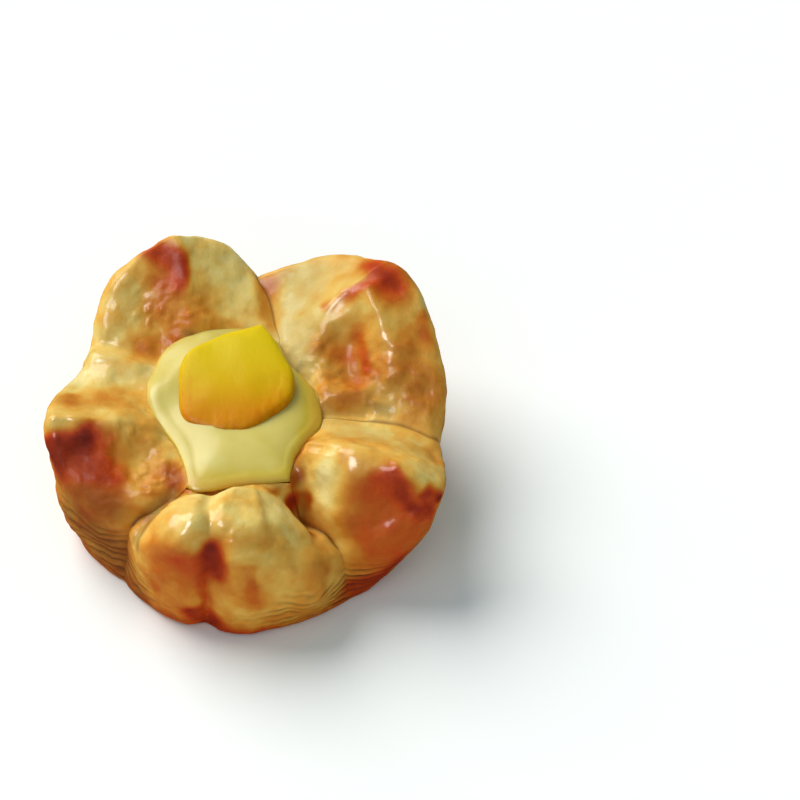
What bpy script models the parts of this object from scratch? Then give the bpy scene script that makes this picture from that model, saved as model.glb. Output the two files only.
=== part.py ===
"""A baked danish: a dough case of five pinched petals, a pool of custard and a wedge of peach sunk in it.

Metres, +Z up, origin at the centre of the flat base on the table. Azimuths are measured from +X towards +Y.
The case is lofted from radial sections. Each petal has a section through its tip and shares a section with
the next petal at the crease between them. In between, the sections blend by a rounded puff curve.
"""

import math

import bmesh
import bpy
import numpy as np

MM = 0.001
GAP = 0.3

# Petals, anticlockwise from the front right. Sizes in millimetres, azimuths in degrees.
# tip: radius and height. foot: radius of the base under the tip. bulge: how far the wall swells.
# mid and lip: radius and height of the ridge on the way in. edge: radius where the custard meets it.
# full and round: how broad and how level the petal stays towards the crease before it and the one after it;
# 1 is a gable.
PETALS = (
    # right front
    {"azimuth": -24.5, "inner_azimuth": -30.0, "tip": (53.5, 32.5), "foot": 42.0, "bulge": 0.5,
     "mid": (41.0, 36.5), "lip": (19.5, 33.8), "edge": 16.5, "full": (1.05, 0.85), "round": (1.05, 0.85)},
    # right back
    {"azimuth": 44.0, "inner_azimuth": 53.0, "tip": (56.0, 45.0), "foot": 42.0, "bulge": 0.5,
     "mid": (41.0, 41.0), "lip": (28.0, 35.0), "edge": 21.5, "full": (0.95, 0.95), "round": (0.95, 0.95)},
    # left back
    {"azimuth": 110.0, "inner_azimuth": 112.0, "tip": (54.0, 44.0), "foot": 42.0, "bulge": 0.5,
     "mid": (43.0, 38.0), "lip": (36.0, 33.0), "edge": 31.0, "full": (1.6, 1.5), "round": (1.6, 1.5)},
    # left
    {"azimuth": 185.0, "inner_azimuth": 188.0, "tip": (48.5, 35.0), "foot": 42.5, "bulge": 0.5,
     "mid": (36.0, 34.5), "lip": (24.0, 32.5), "edge": 18.0, "full": (0.75, 1.2), "round": (0.75, 0.75)},
    # front
    {"azimuth": 260.0, "inner_azimuth": 264.0, "tip": (42.5, 32.0), "foot": 41.3, "bulge": 3.0,
     "mid": (34.0, 34.5), "lip": (24.5, 34.0), "edge": 19.0, "full": (1.35, 1.35), "round": (1.35, 1.35)},
)
# Each crease lies between the petal of the same place and the next. pinch is how sharply it closes at the rim
# and inside it: 1 for two swollen sides that meet, 0 for a plain fold and -1 for a rounded dip.
CREASES = (
    {"inner_azimuth": 11.0, "outer_azimuth": -2.0, "foot": 41.0, "rim": (49.0, 27.0), "mid": (39.0, 28.0),
     "lip": (27.0, 28.5), "edge": 19.5, "pinch": (-1.0, 0.3)},
    {"inner_azimuth": 72.0, "outer_azimuth": 86.0, "foot": 40.0, "rim": (47.0, 34.0), "mid": (40.0, 31.5),
     "lip": (33.5, 29.5), "edge": 28.5, "pinch": (0.0, 0.3)},
    {"inner_azimuth": 143.0, "outer_azimuth": 148.0, "foot": 40.5, "rim": (47.0, 30.0), "mid": (39.0, 30.0),
     "lip": (32.0, 29.5), "edge": 27.5, "pinch": (-1.0, -1.0)},
    {"inner_azimuth": 233.0, "outer_azimuth": 221.0, "foot": 39.0, "rim": (36.0, 20.0), "mid": (31.0, 23.0),
     "lip": (27.0, 26.5), "edge": 24.0, "pinch": (0.3, 0.8)},
    {"inner_azimuth": 304.0, "outer_azimuth": 310.0, "foot": 41.0, "rim": (37.0, 17.0), "mid": (31.0, 20.5),
     "lip": (26.0, 22.5), "edge": 22.0, "pinch": (0.0, 0.6)},
)

FOOT_FLAT = 5.0
FOOT_ROUND = 0.5
TIP_ROUND = 2.5
EDGE_HEIGHT = 29.5
POCKET_HEIGHT = 19.0
POCKET_SHARE = 0.6
POCKET_WALL = (2.5, 24.0)
WALL_SHARES = (0.22, 0.60, 0.90)
STATIONS = 12
FOOT_STATION = 1
RIM_STATION = 5
EDGE_STATION = 8
# The power of the puff curve at each station, for the radius and for the height. A low power is a peak.
PUFFS = [(2.4, 2.0), (2.4, 2.0), (2.2, 2.0), (1.9, 1.8), (1.6, 1.5), (1.5, 1.3), (1.6, 1.3), (1.6, 1.4)] \
    + [(2.0, 2.0)] * 4
# How much of a crease's pinch each station takes.
PINCHES = [0.0, 0.0, 0.1, 0.4, 0.8, 1.0, 1.0, 1.0] + [1.0] * 4
SWELL = 0.30
SWELL_POWER = 4
SOFT = 0.85
SOFT_SHARE = 0.75
LEAN_POWER = 1.6
CROWDING = 0.5
LEAST_HEIGHT = 0.2

# Folds, scoops and swellings: start, end, width, power and the push on the line itself. A power near 1 leaves
# a fold with a sharp ridge and 2 a rounded swelling.
MARKS = (
    # right front petal: the fold along its crest, the steep front below and the round lobe by the custard
    ((30.0, -16.5, 33.5), (47.5, -24.0, 34.0), 6.0, 1.1, (0.0, 0.0, 3.0)),
    ((33.0, -25.0, 31.0), (40.0, -27.5, 30.0), 4.5, 2.0, (0.0, 1.2, -1.2)),
    ((24.5, -16.5, 33.0), (26.5, -19.0, 32.0), 6.5, 2.0, (-0.8, -0.8, 2.2)),
    # right back petal: the folded lip, the crest down its right side, the hollow and the roll at its foot
    ((38.0, 41.0, 45.0), (19.0, 29.5, 39.0), 4.2, 1.2, (0.0, -0.6, 3.4)),
    ((31.0, 31.0, 43.0), (38.0, 13.0, 35.0), 4.2, 1.2, (0.0, 0.0, 3.2)),
    ((25.0, 22.5, 36.0), (27.0, 16.5, 31.0), 6.0, 2.0, (1.0, 0.5, -4.4)),
    ((20.0, 10.0, 30.0), (29.0, 10.0, 30.0), 3.6, 2.0, (0.0, 0.0, 1.8)),
    ((19.5, 4.8, 29.5), (30.0, 4.8, 29.5), 1.8, 2.0, (0.0, 0.0, -1.6)),
    # left back petal: the fold down its middle, the hollow left of it and the dip beside the left petal
    ((-16.0, 48.0, 45.0), (-12.5, 30.0, 33.0), 6.0, 1.1, (0.0, 0.0, 3.0)),
    ((-27.0, 36.0, 38.0), (-22.0, 29.0, 34.0), 7.0, 2.0, (0.0, 0.0, -2.5)),
    ((-38.0, 27.5, 30.0), (-22.0, 22.5, 29.5), 2.6, 2.0, (0.0, 0.0, -1.4)),
    # left petal: its back shoulder, the fold from the tip to the custard and the steep front below it
    ((-37.0, 21.5, 31.0), (-27.0, 19.0, 30.5), 3.4, 2.0, (0.0, 0.0, 2.2)),
    ((-44.0, 21.0, 30.0), (-43.0, 14.0, 31.0), 5.0, 2.0, (1.5, 0.0, -2.0)),
    ((-31.0, -3.8, 33.0), (-49.0, -4.0, 36.0), 5.5, 1.1, (0.0, 0.0, 3.0)),
    ((-40.0, -11.0, 34.0), (-26.0, -11.5, 32.0), 5.0, 2.0, (0.0, 0.0, -1.8)),
    # front petal: the seam, the notch above it, the furrow behind and the lobes on both sides
    ((-7.0, -45.0, 27.0), (-9.4, -42.0, 1.0), 2.5, 1.2, (0.3, 3.2, 0.0)),
    ((-7.0, -40.0, 32.0), (-7.4, -46.0, 27.0), 4.2, 1.6, (0.0, 2.0, -3.8)),
    ((-6.5, -19.0, 32.0), (-7.0, -36.0, 34.0), 2.4, 1.4, (0.0, 0.0, -2.6)),
    ((-11.0, -27.0, 32.0), (-10.0, -36.0, 33.0), 8.0, 2.0, (-0.6, -1.2, 3.2)),
    ((-19.0, -31.0, 31.0), (-18.0, -35.0, 30.0), 4.5, 2.0, (-1.0, -0.5, 1.5)),
    ((2.0, -25.0, 34.0), (5.0, -34.0, 33.0), 7.5, 2.0, (0.0, 0.0, 2.0)),
    ((14.0, -37.0, 22.0), (16.5, -39.0, 12.0), 5.0, 2.0, (1.2, -1.2, 0.0)),
    # the cleft between the left and the front petal
    ((-16.5, -21.0, 28.0), (-25.5, -29.5, 22.0), 2.9, 1.6, (-0.5, 0.5, -3.3)),
    # the custard's bays in front and on the left, and the hole between the two front petals and the custard
    ((-10.0, -19.5, 29.5), (-7.5, -20.5, 29.5), 4.5, 2.0, (-0.4, -3.2, 0.0)),
    ((-22.0, 5.0, 29.5), (-19.0, 0.5, 29.5), 4.0, 2.0, (-1.4, -0.2, 0.0)),
    ((-18.0, -9.0, 29.5), (-15.5, -16.0, 29.5), 4.5, 2.0, (1.7, 0.5, 0.0)),
    ((19.0, 1.5, 29.5), (19.0, 0.5, 29.5), 4.0, 2.0, (1.5, -0.4, 0.0)),
    ((13.0, -20.5, 24.0), (15.5, -26.0, 21.0), 3.2, 1.8, (0.0, 0.0, -8.0)),
)

CUSTARD_RIM = 31.4
CUSTARD_TOP = 32.6
CUSTARD_ROUND = 3.0
CUSTARD_INSET = 0.55
CREASE_INSET = 1.5
CREASE_POWER = 6
POCKET_LIFT = 0.4
DOME_SHARES = (0.78, 0.5, 0.22)
# Swellings of the custard's rim: start, end, width, power and push, as for the dough.
CUSTARD_MARKS = (
    ((-22.0, 8.0, 31.0), (-9.0, 26.0, 31.0), 4.5, 2.0, (0.0, 0.0, 1.6)),
    ((15.0, -12.0, 31.0), (19.0, 4.0, 31.0), 4.0, 2.0, (0.0, 0.0, -0.5)),
)

# The peach wedge: a disc round a centre with one sharp corner and some blunt ones, tilted up at the back right.
PEACH_CENTRE = (-2.2, 11.6, 32.2)
PEACH_RADIUS = 13.2
PEACH_CORNERS = (
    (67.0, 4.4, 18.0, 1.3),
    (158.0, 1.0, 25.0, 2.0),
    (226.0, 3.4, 28.0, 2.0),
    (275.0, 2.2, 28.0, 2.0),
    (340.0, 2.0, 34.0, 2.0),
)
PEACH_TILT = (0.05, 0.11)
PEACH_ABOVE = 3.6
PEACH_BELOW = 2.8
PEACH_SQUARENESS = 0.42

COLUMNS_PER_PETAL = 22
CASE_RINGS = 24
POCKET_RINGS = 4
BASE_RINGS = 3
RIM_RINGS = 3
SMOOTH_COLUMNS = 2
PEACH_COLUMNS = 40
PEACH_RINGS = 12


def puff(u, power, pinch):
    """1 on the ridge of a petal and 0 in the creases beside it, which close up or open out with the pinch."""
    out = np.clip(np.abs(u), 0.0, 1.0)
    plain = 1.0 - out**power
    swollen = np.sqrt(1.0 - out**SWELL_POWER)
    dipped = 0.5 + 0.5 * np.cos(math.pi * out ** (SOFT_SHARE * power))
    swelling = SWELL * np.maximum(pinch, 0.0) * (swollen - plain)
    dipping = SOFT * np.maximum(-pinch, 0.0) * (dipped - plain)
    return plain + swelling + dipping


def wall_radius(foot, rim, share, bulge):
    lean = math.sin(0.5 * math.pi * share) if rim > foot else share**LEAN_POWER
    return foot + (rim - foot) * lean + bulge * math.sin(math.pi * share)


def section(sizes, rim, bulge):
    """Stations of one radial section, from the flat base up the wall, over the rim and in to the middle."""
    foot = sizes["foot"]
    edge = sizes["edge"]
    radius, height = rim
    walls = [(wall_radius(foot, radius, share, bulge), share * height) for share in WALL_SHARES]
    return np.array(
        [(foot - FOOT_FLAT, 0.0), (foot, FOOT_ROUND)]
        + walls
        + [(radius - TIP_ROUND, height), sizes["mid"], sizes["lip"]]
        + [(edge, EDGE_HEIGHT), (edge - POCKET_WALL[0], POCKET_WALL[1])]
        + [(POCKET_SHARE * edge, POCKET_HEIGHT), (0.0, POCKET_HEIGHT)]
    )


def azimuth_share(station):
    """0 at the custard's edge and 1 from the rim outwards."""
    share = (EDGE_STATION - station) / (EDGE_STATION - RIM_STATION)
    return min(max(share, 0.0), 1.0)


def turned(sizes, share):
    return sizes["inner_azimuth"] + (sizes["outer_azimuth"] - sizes["inner_azimuth"]) * share


def stations(index, u):
    """Radius, height and azimuth of every station; u is -1 in the crease before the petal and 1 after it."""
    petal = PETALS[index]
    before = CREASES[index - 1]
    after = CREASES[index]
    ridge = section(petal, petal["tip"], petal["bulge"])
    side_before = section(before, before["rim"], 0.0)
    side_after = section(after, after["rim"], 0.0)
    sides = np.where(u[:, None, None] < 0.0, side_before, side_after)
    radius = np.empty((len(u), STATIONS))
    height = np.empty((len(u), STATIONS))
    azimuth = np.empty((len(u), STATIONS))
    for k, (power_r, power_z) in enumerate(PUFFS):
        full = np.where(u < 0.0, *petal["full"]) if k > FOOT_STATION else 1.0
        level = np.where(u < 0.0, *petal["round"]) if k > FOOT_STATION else 1.0
        share = azimuth_share(k)
        outer = np.where(u < 0.0, before["pinch"][0], after["pinch"][0])
        inner = np.where(u < 0.0, before["pinch"][1], after["pinch"][1])
        pinch = PINCHES[k] * (inner + (outer - inner) * share)
        if k <= FOOT_STATION:
            pinch = np.minimum(pinch, 0.0)
        side_radius, side_height = sides[:, k, 0], sides[:, k, 1]
        radius[:, k] = side_radius + (ridge[k, 0] - side_radius) * puff(u, power_r * full, pinch)
        height[:, k] = side_height + (ridge[k, 1] - side_height) * puff(u, power_z * level, pinch)
        here = petal["inner_azimuth"] + (petal["azimuth"] - petal["inner_azimuth"]) * share
        back = (here - turned(before, share)) % 360.0
        ahead = (turned(after, share) - here) % 360.0
        azimuth[:, k] = here + np.where(u < 0.0, back, ahead) * u
    return radius, height, azimuth


def slopes(values):
    """Slopes that keep a cubic curve through the stations from overshooting them."""
    steps = np.diff(values, axis=1)
    a = steps[:, :-1]
    b = steps[:, 1:]
    total = a + b
    safe = np.where(np.abs(total) < 1e-9, 1.0, total)
    inner = np.where(a * b > 0.0, 2.0 * a * b / safe, 0.0)
    return np.concatenate([steps[:, :1], inner, steps[:, -1:]], axis=1)


def along(values, s):
    """The smooth curve through the stations, at the places s."""
    k = np.clip(s.astype(int), 0, values.shape[1] - 2)
    t = s - k
    d = slopes(values)
    return (
        (2 * t**3 - 3 * t**2 + 1) * values[:, k]
        + (t**3 - 2 * t**2 + t) * d[:, k]
        + (3 * t**2 - 2 * t**3) * values[:, k + 1]
        + (t**3 - t**2) * d[:, k + 1]
    )


def distance(points, start, end):
    """Distance of each point from a line from start to end, in millimetres."""
    a = np.array(start)
    line = np.array(end) - a
    share = np.clip((points - a) @ line / max(line @ line, 1e-9), 0.0, 1.0)
    return np.linalg.norm(points - a - share[..., None] * line, axis=-1)


def pressed(points, marks):
    """The points with every mark pushed in, fading out with distance from the mark's line."""
    moved = points.copy()
    for start, end, width, power, push in marks:
        strength = np.exp(-((distance(points, start, end) / width) ** power))
        moved += strength[..., None] * np.array(push)
    moved[..., 2] = np.where(points[..., 2] <= 0.0, 0.0, np.maximum(moved[..., 2], LEAST_HEIGHT))
    return moved


def peach_outline(turn):
    """Radius of the peach wedge seen from above: a disc with one sharp corner and some blunt ones."""
    outline = np.full(len(turn), PEACH_RADIUS)
    for azimuth, reach, width, power in PEACH_CORNERS:
        off = np.abs((np.degrees(turn) - azimuth + 180.0) % 360.0 - 180.0)
        outline += reach * np.exp(-((off / width) ** power))
    return outline


def spread(count):
    """Places from -1 to just under 1, closer together towards the creases."""
    x = np.arange(count) / count * 2.0 - 1.0
    return np.sin(0.5 * math.pi * x) * CROWDING + x * (1.0 - CROWDING)


def polar_grid(columns, s):
    """Radius, height and azimuth round the whole case, one row per place s and one column per azimuth."""
    u = spread(columns)
    parts = [[along(values, s).T for values in stations(i, u)] for i in range(len(PETALS))]
    return [np.concatenate(values, axis=1) for values in zip(*parts)]


def points_of(radius, height, azimuth):
    turn = np.radians(azimuth)
    return np.stack([radius * np.cos(turn), radius * np.sin(turn), height], axis=-1)


def pocket_places():
    """Places of the rows from the custard's edge down to just short of the middle of the pocket."""
    return np.linspace(EDGE_STATION, STATIONS - 1.0, POCKET_RINGS + 1)[:-1]


def case_grid(columns):
    """The whole case as rows of points from the middle of the base round to the middle of the pocket."""
    outside = np.linspace(0.0, EDGE_STATION, CASE_RINGS + 1)[:-1]
    grid = pressed(points_of(*polar_grid(columns, np.concatenate([outside, pocket_places()]))), MARKS)
    shares = np.arange(1, BASE_RINGS) / BASE_RINGS
    return np.concatenate([grid[:1] * shares[:, None, None], grid], axis=0)


def custard_grid(columns):
    """The custard as rows of points: up the pocket inside the case, round its rim and in over its top."""
    s = pocket_places()[::-1]
    radius, height, azimuth = polar_grid(columns, s)
    lift = np.linspace(POCKET_LIFT, 0.0, len(s))[:, None]
    inset = CUSTARD_INSET + CREASE_INSET * np.tile(np.abs(spread(columns)), len(PETALS)) ** CREASE_POWER
    under = pressed(points_of(radius - inset, height + lift, azimuth), MARKS)
    edge = under[-1, :, :2]
    smooth = np.mean([np.roll(edge, k, axis=0) for k in range(-SMOOTH_COLUMNS, SMOOTH_COLUMNS + 1)], axis=0)
    reach = np.linalg.norm(smooth, axis=1, keepdims=True)
    tops = []
    for ring in range(1, RIM_RINGS + 1):
        turn = 0.5 * math.pi * ring / RIM_RINGS
        inward = CUSTARD_ROUND * (1.0 - math.cos(turn))
        level = (edge + (smooth - edge) * math.sin(turn)) * (1.0 - inward / reach)
        rise = EDGE_HEIGHT + (CUSTARD_RIM - EDGE_HEIGHT) * math.sin(turn)
        tops.append(np.concatenate([level, np.full((len(level), 1), rise)], axis=1))
    for share in DOME_SHARES:
        level = smooth * (1.0 - CUSTARD_ROUND / reach) * share
        dome = CUSTARD_RIM + (CUSTARD_TOP - CUSTARD_RIM) * (1.0 - share**3)
        tops.append(np.concatenate([level, np.full((len(level), 1), dome)], axis=1))
    return np.concatenate([under, pressed(np.array(tops), CUSTARD_MARKS)], axis=0)


def peach_grid(columns, rings, grow):
    """The peach wedge as rows of points from its underside to its top, grown all round by some amount."""
    turn = np.arange(columns) / columns * 2.0 * math.pi
    outline = peach_outline(turn) + grow
    polar = np.arange(1, rings) / rings * math.pi
    out = np.sin(polar) ** PEACH_SQUARENESS
    up = -np.cos(polar)
    up = np.abs(up) ** PEACH_SQUARENESS * np.where(up > 0.0, PEACH_ABOVE + grow, -PEACH_BELOW - grow)
    x = out[:, None] * outline * np.cos(turn)
    y = out[:, None] * outline * np.sin(turn)
    z = up[:, None] + PEACH_TILT[0] * x + PEACH_TILT[1] * y
    return np.stack([x + PEACH_CENTRE[0], y + PEACH_CENTRE[1], z + PEACH_CENTRE[2]], axis=-1)


def wrapped_sphere(name, collection, material, grid, bottom, top):
    """A sphere whose rows and columns of vertices are moved to the grid, so that it closes at both poles."""
    rows, columns = grid.shape[:2]
    mesh = bpy.data.meshes.new(name)
    form = bmesh.new()
    bmesh.ops.create_uvsphere(form, u_segments=columns, v_segments=rows + 1, radius=1.0)
    for vertex in form.verts:
        row = round(math.acos(max(-1.0, min(1.0, -vertex.co.z))) / math.pi * (rows + 1)) - 1
        column = round(math.atan2(vertex.co.y, vertex.co.x) / (2.0 * math.pi) * columns) % columns
        if row < 0:
            place = bottom
        elif row >= rows:
            place = top
        else:
            place = grid[row, column]
        vertex.co = [float(v) * MM for v in place]
    bmesh.ops.triangulate(form, faces=form.faces, quad_method="SHORT_EDGE")
    form.to_mesh(mesh)
    form.free()
    made = bpy.data.objects.new(name, mesh)
    collection.objects.link(made)
    if material:
        mesh.materials.append(material)
    return made


def paint(name, colour, roughness):
    material = bpy.data.materials.new(name)
    material.use_nodes = True
    shader = material.node_tree.nodes["Principled BSDF"]
    shader.inputs["Base Color"].default_value = (*colour, 1.0)
    shader.inputs["Roughness"].default_value = roughness
    shader.inputs["Metallic"].default_value = 0.0
    return material


def peach_object(name, collection, material, grow):
    x, y, z = PEACH_CENTRE
    low = (x, y, z - PEACH_BELOW - grow)
    high = (x, y, z + PEACH_ABOVE + grow)
    return wrapped_sphere(name, collection, material, peach_grid(PEACH_COLUMNS, PEACH_RINGS, grow), low, high)


def main():
    for old in list(bpy.data.objects):
        bpy.data.objects.remove(old)
    danish = bpy.data.collections.new("fruit_danish")
    cutters = bpy.data.collections.new("cutters")
    bpy.context.scene.collection.children.link(danish)
    bpy.context.scene.collection.children.link(cutters)

    dough = paint("baked_dough", (0.58, 0.30, 0.07), 0.35)
    case = case_grid(COLUMNS_PER_PETAL)
    wrapped_sphere("pastry", danish, dough, case, (0.0, 0.0, 0.0), (0.0, 0.0, POCKET_HEIGHT))

    cream = paint("custard", (0.62, 0.52, 0.12), 0.38)
    filling = custard_grid(COLUMNS_PER_PETAL)
    low = (0.0, 0.0, POCKET_HEIGHT + POCKET_LIFT)
    custard = wrapped_sphere("custard", danish, cream, filling, low, (0.0, 0.0, CUSTARD_TOP))

    fruit = paint("peach", (0.74, 0.42, 0.02), 0.45)
    peach_object("peach_wedge", danish, fruit, 0.0)
    cutter = peach_object("peach_recess", cutters, None, GAP)
    cutter.hide_render = True
    cutter.display_type = "WIRE"
    recess = custard.modifiers.new("peach_recess", "BOOLEAN")
    recess.operation = "DIFFERENCE"
    recess.solver = "EXACT"
    recess.object = cutter


main()
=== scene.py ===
"""Looks of a baked danish: a glazed, unevenly browned dough case, a pool of custard and a peach wedge."""

import math

import bpy
import numpy as np
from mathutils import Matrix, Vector


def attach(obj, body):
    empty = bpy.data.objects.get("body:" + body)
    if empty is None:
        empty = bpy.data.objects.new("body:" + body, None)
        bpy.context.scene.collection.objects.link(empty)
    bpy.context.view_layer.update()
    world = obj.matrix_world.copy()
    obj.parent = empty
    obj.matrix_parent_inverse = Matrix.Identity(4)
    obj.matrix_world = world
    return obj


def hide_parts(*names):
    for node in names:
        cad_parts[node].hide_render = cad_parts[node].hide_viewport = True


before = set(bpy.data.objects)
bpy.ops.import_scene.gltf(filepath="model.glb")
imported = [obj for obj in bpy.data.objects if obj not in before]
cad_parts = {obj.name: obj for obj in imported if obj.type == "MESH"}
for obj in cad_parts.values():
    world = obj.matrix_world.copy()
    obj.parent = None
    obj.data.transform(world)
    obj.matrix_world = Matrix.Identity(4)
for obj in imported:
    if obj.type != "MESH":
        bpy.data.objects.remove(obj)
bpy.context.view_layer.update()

MM = 0.001

# ---------------------------------------------------------------- form, in millimetres and degrees
# The case is a loft of radial sections round its middle, one along each petal's ridge and one in each crease.
# They are the sections of the solids, so that the fine surfaces lie where the solids are.
# foot and edge are radii, and tip, rim, mid and lip are a radius and a height. full and round narrow or widen
# a petal in plan and in height, on each side of its ridge, and bulge swells its wall.
PETALS = (
    # right front
    {"azimuth": -24.5, "inner_azimuth": -30.0, "tip": (53.5, 32.5), "foot": 42.0, "bulge": 0.5,
     "mid": (41.0, 36.5), "lip": (19.5, 33.8), "edge": 16.5, "full": (1.05, 0.85), "round": (1.05, 0.85)},
    # right back
    {"azimuth": 44.0, "inner_azimuth": 53.0, "tip": (56.0, 45.0), "foot": 42.0, "bulge": 0.5,
     "mid": (41.0, 41.0), "lip": (28.0, 35.0), "edge": 21.5, "full": (0.95, 0.95), "round": (0.95, 0.95)},
    # left back
    {"azimuth": 110.0, "inner_azimuth": 112.0, "tip": (54.0, 44.0), "foot": 42.0, "bulge": 0.5,
     "mid": (43.0, 38.0), "lip": (36.0, 33.0), "edge": 31.0, "full": (1.6, 1.5), "round": (1.6, 1.5)},
    # left
    {"azimuth": 185.0, "inner_azimuth": 188.0, "tip": (48.5, 35.0), "foot": 42.5, "bulge": 0.5,
     "mid": (36.0, 34.5), "lip": (24.0, 32.5), "edge": 18.0, "full": (0.75, 1.2), "round": (0.75, 0.75)},
    # front
    {"azimuth": 260.0, "inner_azimuth": 264.0, "tip": (42.5, 32.0), "foot": 41.3, "bulge": 3.0,
     "mid": (34.0, 34.5), "lip": (24.5, 34.0), "edge": 19.0, "full": (1.35, 1.35), "round": (1.35, 1.35)},
)
# Each crease lies between the petal of the same place and the next. pinch is how sharply it closes at the rim
# and inside it: 1 for two swollen sides that meet, 0 for a plain fold and -1 for a rounded dip.
CREASES = (
    {"inner_azimuth": 11.0, "outer_azimuth": -2.0, "foot": 41.0, "rim": (49.0, 27.0), "mid": (39.0, 28.0),
     "lip": (27.0, 28.5), "edge": 19.5, "pinch": (-1.0, 0.3)},
    {"inner_azimuth": 72.0, "outer_azimuth": 86.0, "foot": 40.0, "rim": (47.0, 34.0), "mid": (40.0, 31.5),
     "lip": (33.5, 29.5), "edge": 28.5, "pinch": (0.0, 0.3)},
    {"inner_azimuth": 143.0, "outer_azimuth": 148.0, "foot": 40.5, "rim": (47.0, 30.0), "mid": (39.0, 30.0),
     "lip": (32.0, 29.5), "edge": 27.5, "pinch": (-1.0, -1.0)},
    {"inner_azimuth": 233.0, "outer_azimuth": 221.0, "foot": 39.0, "rim": (36.0, 20.0), "mid": (31.0, 23.0),
     "lip": (27.0, 26.5), "edge": 24.0, "pinch": (0.3, 0.8)},
    {"inner_azimuth": 304.0, "outer_azimuth": 310.0, "foot": 41.0, "rim": (37.0, 17.0), "mid": (31.0, 20.5),
     "lip": (26.0, 22.5), "edge": 22.0, "pinch": (0.0, 0.6)},
)
FOOT_FLAT = 5.0
FOOT_ROUND = 0.5
TIP_ROUND = 2.5
WALL_SHARES = (0.22, 0.60, 0.90)
# The pocket under the custard: the height of its edge and its floor, the floor's share of the edge's radius,
# and a place on its wall, as far inside the edge and as high as this.
EDGE_HEIGHT = 29.5
POCKET_HEIGHT = 19.0
POCKET_SHARE = 0.6
POCKET_WALL = (2.5, 24.0)
STATIONS = 12
FOOT_STATION = 1
RIM_STATION = 5
EDGE_STATION = 8
# The power of the puff curve at each station, for the radius and for the height. A low power is a peak.
PUFFS = (
    [(2.4, 2.0), (2.4, 2.0), (2.2, 2.0), (1.9, 1.8), (1.6, 1.5), (1.5, 1.3), (1.6, 1.3), (1.6, 1.4)]
    + [(2.0, 2.0)] * 4
)
# How much of a crease's pinch each station takes.
PINCHES = [0.0, 0.0, 0.1, 0.4, 0.8] + [1.0] * 7
# How far a petal swells towards a pinched crease, and how much softer it falls into a rounded dip.
SWELL = 0.30
SWELL_POWER = 4
SOFT = 0.85
SOFT_SHARE = 0.75
# How late a wall that narrows upwards leans in, and how far the columns crowd towards the creases.
LEAN_POWER = 1.6
CROWDING = 0.5
LEAST_HEIGHT = 0.2

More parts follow.
